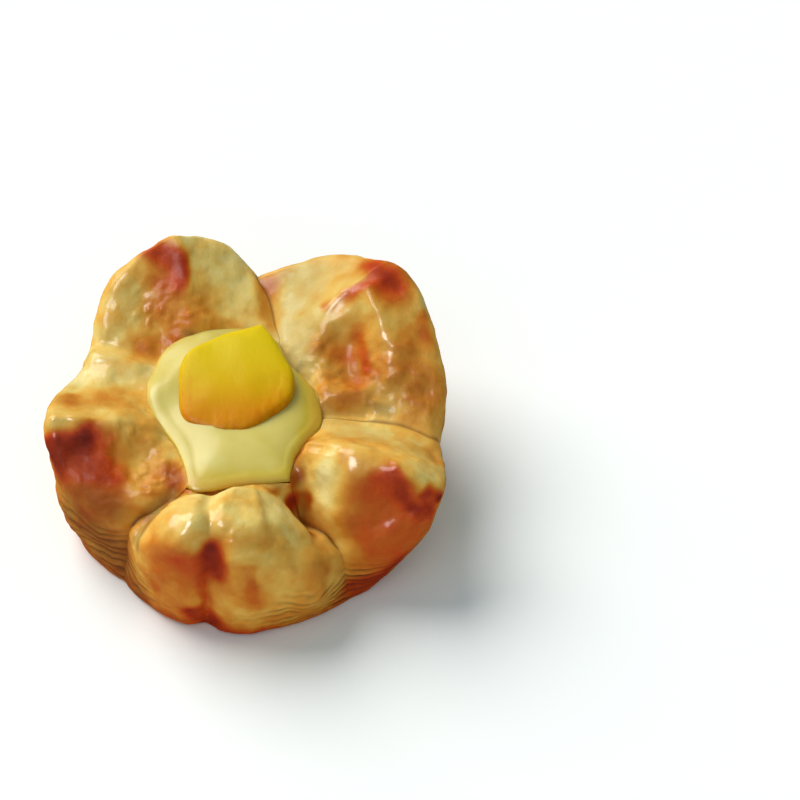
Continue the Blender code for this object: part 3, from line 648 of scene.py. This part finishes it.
# Painted shade and browning: where the crust is darkened in clefts, furrows and the gaps between dry flaky
# layers, and painted darker as shade on some faces: start, end, width and strength.
SHADE_AND_BROWNING = (
    # right back petal: its flank and rim, the roll at its foot with a dark spot, and its right side
    ((15.0, 41.0, 38.0), (13.0, 24.0, 32.0), 8.0, 0.42),
    ((22.0, 39.0, 43.0), (28.0, 38.0, 45.0), 6.0, 0.24),
    ((24.0, 12.0, 31.0), (37.0, 10.5, 32.0), 6.5, 0.30),
    ((25.0, 12.0, 31.5), (27.0, 12.0, 31.5), 1.6, 0.40),
    ((42.0, 13.0, 33.0), (45.0, 4.0, 30.0), 6.5, 0.28),
    # right front petal: its top, and the furrow behind it
    ((26.0, -4.0, 30.5), (43.0, -7.0, 31.0), 5.5, 0.32),
    ((20.0, 5.5, 30.0), (30.0, -1.0, 30.0), 3.0, 0.28),
    ((19.5, 4.6, 29.5), (30.0, 4.6, 29.5), 1.1, 0.90),
    ((31.5, 6.5, 30.0), (36.5, 5.0, 29.4), 1.8, 0.55),
    # left petal: the dip behind it, its top, its front, its wall and its foot
    ((-43.0, 14.0, 31.0), (-24.0, 16.0, 29.6), 5.5, 0.14),
    ((-44.0, 4.0, 34.0), (-27.0, 5.0, 32.0), 5.0, 0.16),
    ((-44.0, -13.0, 29.0), (-37.0, -16.0, 27.0), 7.0, 0.36),
    ((-41.0, -19.0, 25.0), (-32.0, -21.5, 23.5), 5.0, 0.62),
    ((-40.0, -18.0, 18.0), (-31.0, -25.0, 9.0), 8.5, 0.74),
    ((-42.0, -10.0, 8.0), (-26.0, -31.0, 4.0), 6.0, 0.72),
    # the clefts on both sides of the front petal
    ((-17.0, -20.8, 28.0), (-26.0, -30.0, 21.0), 2.6, 0.90),
    ((-15.5, -19.0, 27.0), (-23.0, -23.0, 22.5), 2.4, 0.75),
    ((13.8, -22.5, 23.0), (16.2, -26.5, 21.0), 2.2, 0.50),
    # the crust round the custard
    ((-17.5, -13.5, 30.0), (-15.5, -18.0, 29.0), 2.6, 0.50),
    ((-13.0, -22.0, 30.0), (11.0, -19.8, 30.0), 1.3, 0.45),
    ((13.8, -16.5, 28.5), (15.6, -6.0, 31.0), 2.0, 0.62),
    ((-14.2, 28.5, 31.5), (-13.4, 28.3, 31.5), 1.3, 0.80),
)
# Where the egg wash lies thicker or thinner: start, end, width and level.
GLAZES = (
    # dry: the scorched fronts and caps, and the hollow, roll and flank of the right back petal
    ((-22.0, 45.0, 44.0), (-14.0, 30.0, 32.0), 8.0, 0.10),
    ((-44.0, -12.0, 30.0), (-31.0, -14.0, 29.0), 8.0, 0.04),
    ((23.0, 21.0, 34.0), (28.0, 14.0, 31.0), 4.5, 0.12),
    ((24.0, 12.0, 31.0), (40.0, 10.0, 32.0), 5.5, 0.14),
    ((36.0, -25.0, 31.0), (44.0, -26.0, 29.0), 5.0, 0.15),
    ((12.0, 38.0, 35.0), (30.0, 39.0, 44.0), 9.0, 0.10),
    ((14.0, 28.0, 34.0), (16.0, 20.0, 33.0), 6.0, 0.15),
    # wet: the lobes and crests that catch the light
    ((-15.5, -36.0, 34.0), (-10.0, -35.5, 34.5), 5.5, 1.0),
    ((21.5, -17.5, 35.0), (25.0, -18.0, 37.0), 5.5, 1.0),
    ((-36.0, 20.5, 31.5), (-30.0, 19.5, 31.5), 4.5, 1.0),
    ((34.0, 23.5, 41.0), (36.5, 18.5, 38.0), 2.6, 0.9),
    ((-28.5, 38.5, 38.0), (-26.5, 36.5, 36.0), 2.6, 0.9),
    ((22.0, 31.0, 41.0), (27.0, 31.5, 43.5), 2.5, 0.9),
    ((-46.0, -4.5, 36.5), (-30.0, -4.0, 35.0), 3.0, 0.8),
    # dry again: the left petal's inner side
    ((-18.5, -12.0, 30.0), (-16.0, -18.0, 29.0), 4.0, 0.08),
    ((-27.0, -12.0, 30.0), (-20.5, -17.0, 29.0), 4.5, 0.16),
)
# Where the layers of the wall have come apart: start, end and width.
FLAKED = (
    ((-42.0, -12.0, 12.0), (-26.0, -30.0, 8.0), 9.0),
    ((24.0, -33.0, 6.0), (42.0, -27.0, 10.0), 6.0),
)
# Where the crust is blistered: start, end, width and height of the blisters.
BLISTERS = (
    ((-28.0, -8.0, 32.0), (-21.0, -17.0, 29.5), 6.5, 0.55),
    ((-25.0, 36.0, 36.0), (-15.0, 32.0, 33.0), 6.5, 0.40),
    ((22.0, 20.0, 33.5), (30.0, 13.0, 31.5), 7.0, 0.45),
    ((0.0, -39.0, 31.0), (10.0, -38.0, 26.0), 5.0, 0.45),
    ((33.0, -25.0, 31.0), (44.0, -26.0, 28.0), 6.0, 0.25),
    ((40.0, 18.0, 37.0), (44.0, 6.0, 31.0), 6.0, 0.30),
)

# Relief of the crust, in millimetres. Lumps, a warp and a mottle are pairs of a height and a spacing, and a
# fade is a start and a length.
LUMPS = ((0.60, 12.0), (0.30, 5.0), (0.12, 2.4))
WRINKLE_HEIGHT = 0.16
WRINKLE_SPACING = (2.6, 11.0, 11.0)
WRINKLE_RADIUS = 38.0
# The layers of the dough: their pitch, the warp and depth of the gaps between them, the height that they fade
# out at, and how much of the wall is flaky.
LAYER_PITCH = 2.3
LAYER_WARP = ((1.6, 9.0), (0.5, 3.0))
LAYER_DEPTH = 0.9
LAYER_SHARPNESS = 2.5
LAYER_TOP = 26.0
LAYER_LEAST = 0.15
FLAKY_SPACING = (16.0, 16.0, 9.0)
FLAKY_CONTRAST = 1.5
FLAKY_SHARE = 0.9
FLAKY_TOP = 22.0
GAP_CONTRAST = 1.6
# Small blisters: height, spacing and rarity, and the spacing and the share of the fields that they lie in.
SMALL_BLISTER = (0.25, 1.9, 0.25)
SMALL_BLISTER_FIELDS = (14.0, 0.4)
BLISTER_SPACING = 1.7
BLISTER_CROWDING = 0.1
WALL_STEEPNESS = 1.6
# How far the relief calms down beside the creases, and where: over a petal's half width, and above the base.
CREASE_CALM = 0.6
CREASE_CALM_FADE = (0.8, 0.2)
BASE_CALM_FADE = (0.2, 1.5)

# Baking, from 0 for pale dough to 1 for a scorched tip. WALL_BAKE_FADE is the wall's share where the crust is
# upright, and how fast that falls as it leans back. RAGGED is how far the borders of a patch wander.
WALL_BAKE = 0.46
TOP_BAKE = 0.27
BASE_BAKE = 0.16
BASE_BAKE_HEIGHT = 9.0
WALL_BAKE_FADE = (1.1, 1.8)
RAGGED = 1.3
RAGGED_SPACING = 6.0
SIDE_BLUR = 0.9
SCORCHED = 0.6
SCORCHED_CALM = 0.6
MOTTLE = ((0.07, 9.0), (0.06, 3.5), (0.03, 1.6))
RELIEF_BAKE = 0.06

# Painted shade and browning: dark lines in the creases from this station to the custard, and in the gaps
# between the layers.
CREASE_START = 4.2
CREASE_END = EDGE_STATION + 0.5
# The part of a petal's half width that the line beside a crease takes.
CREASE_LINE = (0.955, 0.045)
CREASE_LINE_POWER = 1.5
CREASE_PINCH_GAIN = 3.0
# Painted shade and browning in the gaps between the layers.
GAP_SHADE_AND_BROWN = 0.8
GAP_SHADE_DEEPENING = 0.5
CREASE_MOST = 1.2

# Egg wash: brushed on from above, so that it thins out where the crust is steep and towards the foot.
GLAZE = 0.36
GLAZE_SLOPE = (0.25, 1.1)
GLAZE_STEEP = 0.12
GLAZE_FOOT = (8.0, 14.0)
GLAZE_LOW = 0.2


def even_places(first, last, count):
    """Places between two stations, spaced evenly along the surface on average."""
    columns, samples = PLACE_SAMPLES
    s = np.linspace(first, last, samples)
    grid = points_of(*polar_grid(columns, s))
    steps = np.linalg.norm(np.diff(grid, axis=0), axis=-1).mean(axis=1) + PLACE_LEAST_STEP
    lengths = np.concatenate([[0.0], np.cumsum(steps)])
    return np.interp(np.linspace(0.0, lengths[-1], count), lengths, s)


def layer_depth(grid, wall):
    """How deep the gaps between the dough's layers are. They show on the wall, most of all near the foot."""
    height = grid[..., 2]
    place = (height + waves(grid, LAYER_WARP, 5)) / LAYER_PITCH
    off_gap = np.abs(place % 1.0 - 0.5) * 2.0
    low = np.clip(1.0 - height / LAYER_TOP, LAYER_LEAST, 1.0)
    flaky = clamped(noise(grid, FLAKY_SPACING, 9) * FLAKY_CONTRAST + FLAKY_SHARE - height / FLAKY_TOP)
    for start, end, width in FLAKED:
        near = nearness(grid, start, end, width)
        flaky = np.maximum(flaky, near)
        low = np.maximum(low, near)
    return LAYER_DEPTH * (1.0 - off_gap) ** LAYER_SHARPNESS * wall * low * flaky


def blister_height(grid):
    """Fine blisters scattered in loose fields, and larger ones crowded in a few places."""
    height, spacing, rarity = SMALL_BLISTER
    field_spacing, field_share = SMALL_BLISTER_FIELDS
    fields = clamped(noise(grid, field_spacing, 8) + field_share)
    total = height * clamped(noise(grid, spacing, 7) - rarity) * fields
    crowded = clamped(noise(grid, BLISTER_SPACING, 10) + BLISTER_CROWDING)
    for start, end, width, rise in BLISTERS:
        total += rise * nearness(grid, start, end, width) * crowded
    return total


def case_relief(grid, normal, u):
    """How far each point of the crust stands out, and how far the layers gape there, from 0 to 1."""
    height = grid[..., 2]
    wall = clamped(1.0 - np.abs(normal[..., 2]) * WALL_STEEPNESS)
    radius = np.hypot(grid[..., 0], grid[..., 1])
    turn = np.unwrap(np.arctan2(grid[..., 1], grid[..., 0]), axis=1)
    unrolled = np.stack([turn * WRINKLE_RADIUS, radius, height], axis=-1)
    wrinkles = WRINKLE_HEIGHT * noise(unrolled, WRINKLE_SPACING, 4) * (1.0 - wall)
    depth = layer_depth(grid, wall)
    calm = CREASE_CALM * rising(np.abs(u), *CREASE_CALM_FADE)[None, :]
    relief = (waves(grid, LUMPS, 1) + wrinkles - depth + blister_height(grid)) * (1.0 - calm)
    return relief * rising(height, *BASE_CALM_FADE), clamped(depth * GAP_CONTRAST)


def case_bake(grid, normal, relief):
    """How far each point is baked: the walls and the base more than the tops, then patch by patch."""
    shift = np.stack([noise(grid, RAGGED_SPACING, seed) for seed in (11, 12, 13)], axis=-1)
    ragged = grid + shift * RAGGED
    full, fade = WALL_BAKE_FADE
    wall = clamped(full - np.maximum(normal[..., 2], 0.0) * fade)
    bake = TOP_BAKE + (WALL_BAKE - TOP_BAKE) * wall
    bake += BASE_BAKE * clamped(1.0 - grid[..., 2] / BASE_BAKE_HEIGHT)
    scorched = np.zeros_like(bake)
    for start, end, width, level, (border, inside) in BAKES:
        weight = nearness(ragged, start, end, width)
        if any(inside):
            beyond = (ragged[..., :2] - np.array(border)) @ np.array(inside)
            weight = weight / (1.0 + np.exp(-beyond / SIDE_BLUR * 2.0))
        bake += (level - bake) * weight
        scorched = np.maximum(scorched, weight * (level > SCORCHED))
    bake += waves(grid, MOTTLE, 14) * (1.0 - SCORCHED_CALM * scorched)
    return clamped(bake + RELIEF_BAKE * relief)


def case_crease_shade(grid, u, places, gaps):
    """Painted shade and browning: how dark the creases, clefts and gaps between layers are painted. A sharper
    pinch leaves a darker crease.
    """
    inner_pinch = np.array([crease["pinch"][1] for crease in CREASES])
    after = np.repeat(inner_pinch, CASE_COLUMNS)
    before = np.repeat(np.roll(inner_pinch, 1), CASE_COLUMNS)
    sharp = clamped(np.where(u < 0.0, before, after) * CREASE_PINCH_GAIN)
    line = rising(np.abs(u), *CREASE_LINE) ** CREASE_LINE_POWER * sharp
    inside = clamped((CREASE_END - places) * (places - CREASE_START))
    crease = np.maximum(line[None, :] * inside[:, None], GAP_SHADE_AND_BROWN * gaps)
    for start, end, width, strength in SHADE_AND_BROWNING:
        crease = np.maximum(crease, strength * nearness(grid, start, end, width))
    return np.minimum(crease + GAP_SHADE_DEEPENING * gaps, CREASE_MOST)


def case_glaze(grid, normal):
    """How thick the egg wash lies."""
    flat, gain = GLAZE_SLOPE
    foot, fade = GLAZE_FOOT
    slope = np.clip(flat + gain * normal[..., 2], GLAZE_STEEP, 1.0)
    glaze = GLAZE * slope * np.clip((grid[..., 2] - foot) / fade, GLAZE_LOW, 1.0)
    for start, end, width, level in GLAZES:
        glaze += (level - glaze) * nearness(grid, start, end, width)
    return glaze


def with_base(values):
    """The rows of values, with the first one repeated for each ring of the base."""
    return np.concatenate([np.repeat(values[:1], len(BASE_RINGS), axis=0), values])


def dough_case():
    outside = even_places(0.0, LIP_PLACE, CASE_ROWS)
    pocket = np.linspace(LIP_PLACE, STATIONS - 1.0, POCKET_ROWS + 2)[1:-1]
    places = np.concatenate([outside, pocket])
    u = np.tile(spread(CASE_COLUMNS), len(PETALS))
    grid = pressed(points_of(*polar_grid(CASE_COLUMNS, places)), MARKS)
    normal = normals_of(grid)
    relief, gaps = case_relief(grid, normal, u)
    relief[places > EDGE_STATION] = 0.0
    fine = grid + normal * relief[..., None]
    fine[..., 2] = np.maximum(fine[..., 2], 0.0)
    fine[0, :, 2] = 0.0
    bake = with_base(case_bake(grid, normal, relief))
    # The crease attribute carries painted shade and browning.
    crease = with_base(case_crease_shade(grid, u, places, gaps))
    crease[: len(BASE_RINGS)] = 0.0
    glaze = with_base(case_glaze(grid, normal))
    fine = with_base(fine)
    for ring, share in enumerate(BASE_RINGS):
        fine[ring] *= share
    case = closed_mesh("dough_case", fine, (0.0, 0.0, 0.0), (0.0, 0.0, POCKET_HEIGHT),
                       {"bake": bake, "crease": crease, "glaze": glaze}, dough_material())
    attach(case, "root")
    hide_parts("pastry")
    return case


# ---------------------------------------------------------------- custard and peach

CUSTARD_COLUMNS = 60
CUSTARD_SIDE_ROWS = 12
CUSTARD_RIM_ROWS = 12
CUSTARD_TOP_ROWS = 26
CUSTARD_TOP_SHARES = (0.96, 0.02)
CUSTARD_DOME_POWER = 3
# How far the side of the custard stays inside the pocket, more so in the creases, and above its floor.
CUSTARD_CREASE_INSET = 0.6
CUSTARD_CREASE_POWER = 6
CUSTARD_LIFT = 0.15
CUSTARD_FLOOR_GAP = 0.3
# How many columns on each side are averaged to smooth the top's outline, and the radius of its rim.
CUSTARD_SMOOTH = 8
CUSTARD_ROUND = 3.0
CUSTARD_TOP_FADE = (29.0, 2.0)
CUSTARD_WAVE = (0.25, 9.0)
# Painted shade: where the custard is painted a deeper, darker yellow: low down on its rim, and in front and
# on the right, which the light leaves dim, each given as the axis, the direction along it and the place it
# starts at.
SHADE_HEIGHT = 31.6
SHADE_HEIGHT_FADE = 3.0
SHADE_SIDES = ((1, -1.0, 13.0), (0, 1.0, 12.0))
SHADE_SIDE_FADE = 6.0
SHADE_SIDE = 0.5

PEACH_COLUMNS = 220
PEACH_ROWS = 120
PEACH_LUMPS = (0.3, 7.0)
PEACH_FIBRES = (0.14, (1.5, 5.0, 3.0))
# Ripeness: everywhere, more towards the front, and most at the edge there.
PEACH_RIPE = 0.10
PEACH_RIPE_FRONT = 0.58
PEACH_RIPE_FRONT_POWER = 1.5
PEACH_RIPE_EDGE = 0.12
PEACH_EDGE_FADE = (0.55, 0.45)
PEACH_DEPTH = 22.0


def custard_pool():
    """The custard: up the side of the pocket, round over the rim and on to a slightly domed top."""
    s = np.linspace(STATIONS - 1.0, EDGE_STATION, CUSTARD_SIDE_ROWS)[1:]
    radius, height, azimuth = polar_grid(CUSTARD_COLUMNS, s)
    u = np.tile(np.abs(spread(CUSTARD_COLUMNS)), len(PETALS))
    inset = CUSTARD_INSET + CUSTARD_CREASE_INSET * u**CUSTARD_CREASE_POWER
    side = pressed(points_of(radius - inset, height + CUSTARD_LIFT, azimuth), MARKS)
    edge = side[-1, :, :2]
    smooth = sum(np.roll(edge, k, axis=0) for k in range(-CUSTARD_SMOOTH, CUSTARD_SMOOTH + 1))
    smooth /= 2.0 * CUSTARD_SMOOTH + 1.0
    reach = np.linalg.norm(smooth, axis=1, keepdims=True)
    # The rim swells out over the dough on the left and stays behind a groove on the right.
    off_left = np.arctan2(edge[:, 1:], edge[:, :1]) - math.radians(CUSTARD_OVER_AZIMUTH)
    over = CUSTARD_OVER * (0.5 + 0.5 * np.cos(off_left))
    rows = []
    for bend in np.linspace(0.0, 0.5 * math.pi, CUSTARD_RIM_ROWS)[1:]:
        inward = CUSTARD_ROUND * (1.0 - math.cos(bend)) - over * math.sin(2.0 * bend)
        rise = EDGE_HEIGHT + (CUSTARD_RIM - EDGE_HEIGHT) * math.sin(bend)
        level = (edge + (smooth - edge) * math.sin(bend)) * (1.0 - inward / reach)
        rows.append(np.concatenate([level, np.full((len(level), 1), rise)], axis=1))
    for share in np.linspace(*CUSTARD_TOP_SHARES, CUSTARD_TOP_ROWS):
        level = smooth * (1.0 - CUSTARD_ROUND / reach) * share
        dome = CUSTARD_RIM + (CUSTARD_TOP - CUSTARD_RIM) * (1.0 - share**CUSTARD_DOME_POWER)
        rows.append(np.concatenate([level, np.full((len(level), 1), dome)], axis=1))
    grid = np.concatenate([side, np.array(rows)])
    top = rising(grid[..., 2], *CUSTARD_TOP_FADE)
    grid = grid + (pressed(grid, CUSTARD_MARKS) - grid) * top[..., None]
    grid[..., 2] += waves(grid, (CUSTARD_WAVE,), 21) * top
    # Painted shade: a deeper, darker yellow low on the rim and on the dim front and right.
    low = clamped((SHADE_HEIGHT - grid[..., 2]) / SHADE_HEIGHT_FADE)
    for axis, sign, start in SHADE_SIDES:
        low += SHADE_SIDE * rising(sign * grid[..., axis], start, SHADE_SIDE_FADE) * top
    pool = closed_mesh("custard_pool", grid, (0.0, 0.0, POCKET_HEIGHT + CUSTARD_FLOOR_GAP),
                       (0.0, 0.0, CUSTARD_TOP), {"low": low}, custard_material())
    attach(pool, "root")
    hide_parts("custard")
    return pool


def peach_piece():
    """The peach wedge: a squarish round cross-section over its outline, tilted a little towards the front."""
    turn = np.arange(PEACH_COLUMNS) / PEACH_COLUMNS * 2.0 * math.pi
    outline = peach_outline(turn)
    polar = np.arange(1, PEACH_ROWS) / PEACH_ROWS * math.pi
    out = np.sin(polar)[:, None] ** PEACH_SQUARENESS
    up = -np.cos(polar)
    up = np.abs(up) ** PEACH_SQUARENESS * np.where(up > 0.0, PEACH_ABOVE, -PEACH_BELOW)
    x = out * outline * np.cos(turn)
    y = out * outline * np.sin(turn)
    z = up[:, None] + PEACH_TILT[0] * x + PEACH_TILT[1] * y
    grid = np.stack([x, y, z], axis=-1) + np.array(PEACH_CENTRE)
    edge = rising(out, *PEACH_EDGE_FADE)
    front = clamped(0.5 - y / PEACH_DEPTH)
    fibre = edge * front
    ripe = PEACH_RIPE + PEACH_RIPE_FRONT * front**PEACH_RIPE_FRONT_POWER + PEACH_RIPE_EDGE * fibre
    relief = waves(grid, (PEACH_LUMPS,), 31) + waves(grid, (PEACH_FIBRES,), 32) * fibre
    grid = grid + normals_of(grid) * relief[..., None]
    across, along_y, level = PEACH_CENTRE
    piece = closed_mesh("peach_piece", grid, (across, along_y, level - PEACH_BELOW),
                        (across, along_y, level + PEACH_ABOVE), {"ripe": ripe, "fibre": fibre},
                        peach_material())
    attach(piece, "root")
    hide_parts("peach_wedge")
    return piece


# ---------------------------------------------------------------- setting

CAMERA_ELEVATION = 50.0
CAMERA_DISTANCE = 1.5
LOOK_AT = Vector((0.0389, 0.0165, 0.020))
VIEW_WIDTH = 0.200
SENSOR = 36.0
FLOOR_SIZE = 6.0
# Lamps: azimuth and elevation that each shines from, strength, spread and colour.
KEY = (138.0, 44.0, 3.30, 50.0, (1.0, 0.965, 0.92))
WINDOW = (215.0, 59.0, 3.0, 28.0, (1.0, 1.0, 1.0))
FILL = (255.0, 38.0, 0.75, 80.0, (1.0, 0.93, 0.86))
SKY_COLOUR = (0.57, 0.91, 1.0, 1.0)
SKY_STRENGTH = 0.27


def camera():
    data = bpy.data.cameras.new("camera")
    data.sensor_width = SENSOR
    data.lens = SENSOR * CAMERA_DISTANCE / VIEW_WIDTH
    data.clip_start = 0.01
    made = bpy.data.objects.new("camera", data)
    up = math.radians(CAMERA_ELEVATION)
    made.location = LOOK_AT + Vector((0.0, -math.cos(up), math.sin(up))) * CAMERA_DISTANCE
    made.rotation_euler = (math.pi / 2.0 - up, 0.0, 0.0)
    bpy.context.scene.collection.objects.link(made)
    bpy.context.scene.camera = made


def sun(name, azimuth, elevation, strength, spread_angle, colour):
    """A soft lamp that shines from the azimuth and elevation given."""
    data = bpy.data.lights.new(name, "SUN")
    data.energy = strength
    data.angle = math.radians(spread_angle)
    data.color = colour
    made = bpy.data.objects.new(name, data)
    turn = math.radians(azimuth)
    up = math.radians(elevation)
    source = Vector((math.cos(up) * math.cos(turn), math.cos(up) * math.sin(turn), math.sin(up)))
    made.rotation_euler = source.to_track_quat("Z", "Y").to_euler()
    bpy.context.scene.collection.objects.link(made)
    return made


def floor():
    bpy.ops.mesh.primitive_plane_add(size=FLOOR_SIZE)
    made = bpy.context.object
    made.name = "floor"
    n = Nodes("white_paper")
    n.set(base_color=PAPER_COLOUR, roughness=0.9, specular_ior_level=0.0)
    made.data.materials.append(n.material)
    made.visible_glossy = False


def lamps():
    """A large key lamp, a window that only shows as a highlight, a faint fill and a pale sky."""
    sun("key", *KEY)
    window = sun("window", *WINDOW)
    window.visible_diffuse = False
    window.visible_transmission = False
    fill = sun("fill", *FILL)
    fill.visible_glossy = False
    world = bpy.data.worlds.new("studio")
    world.use_nodes = True
    background = world.node_tree.nodes["Background"]
    background.inputs["Color"].default_value = SKY_COLOUR
    background.inputs["Strength"].default_value = SKY_STRENGTH
    world.cycles_visibility.glossy = False
    bpy.context.scene.world = world
    bpy.context.scene.view_settings.view_transform = "Standard"
    bpy.context.scene.view_settings.look = "None"


dough_case()
custard_pool()
peach_piece()
camera()
floor()
lamps()

bpy.context.view_layer.update()
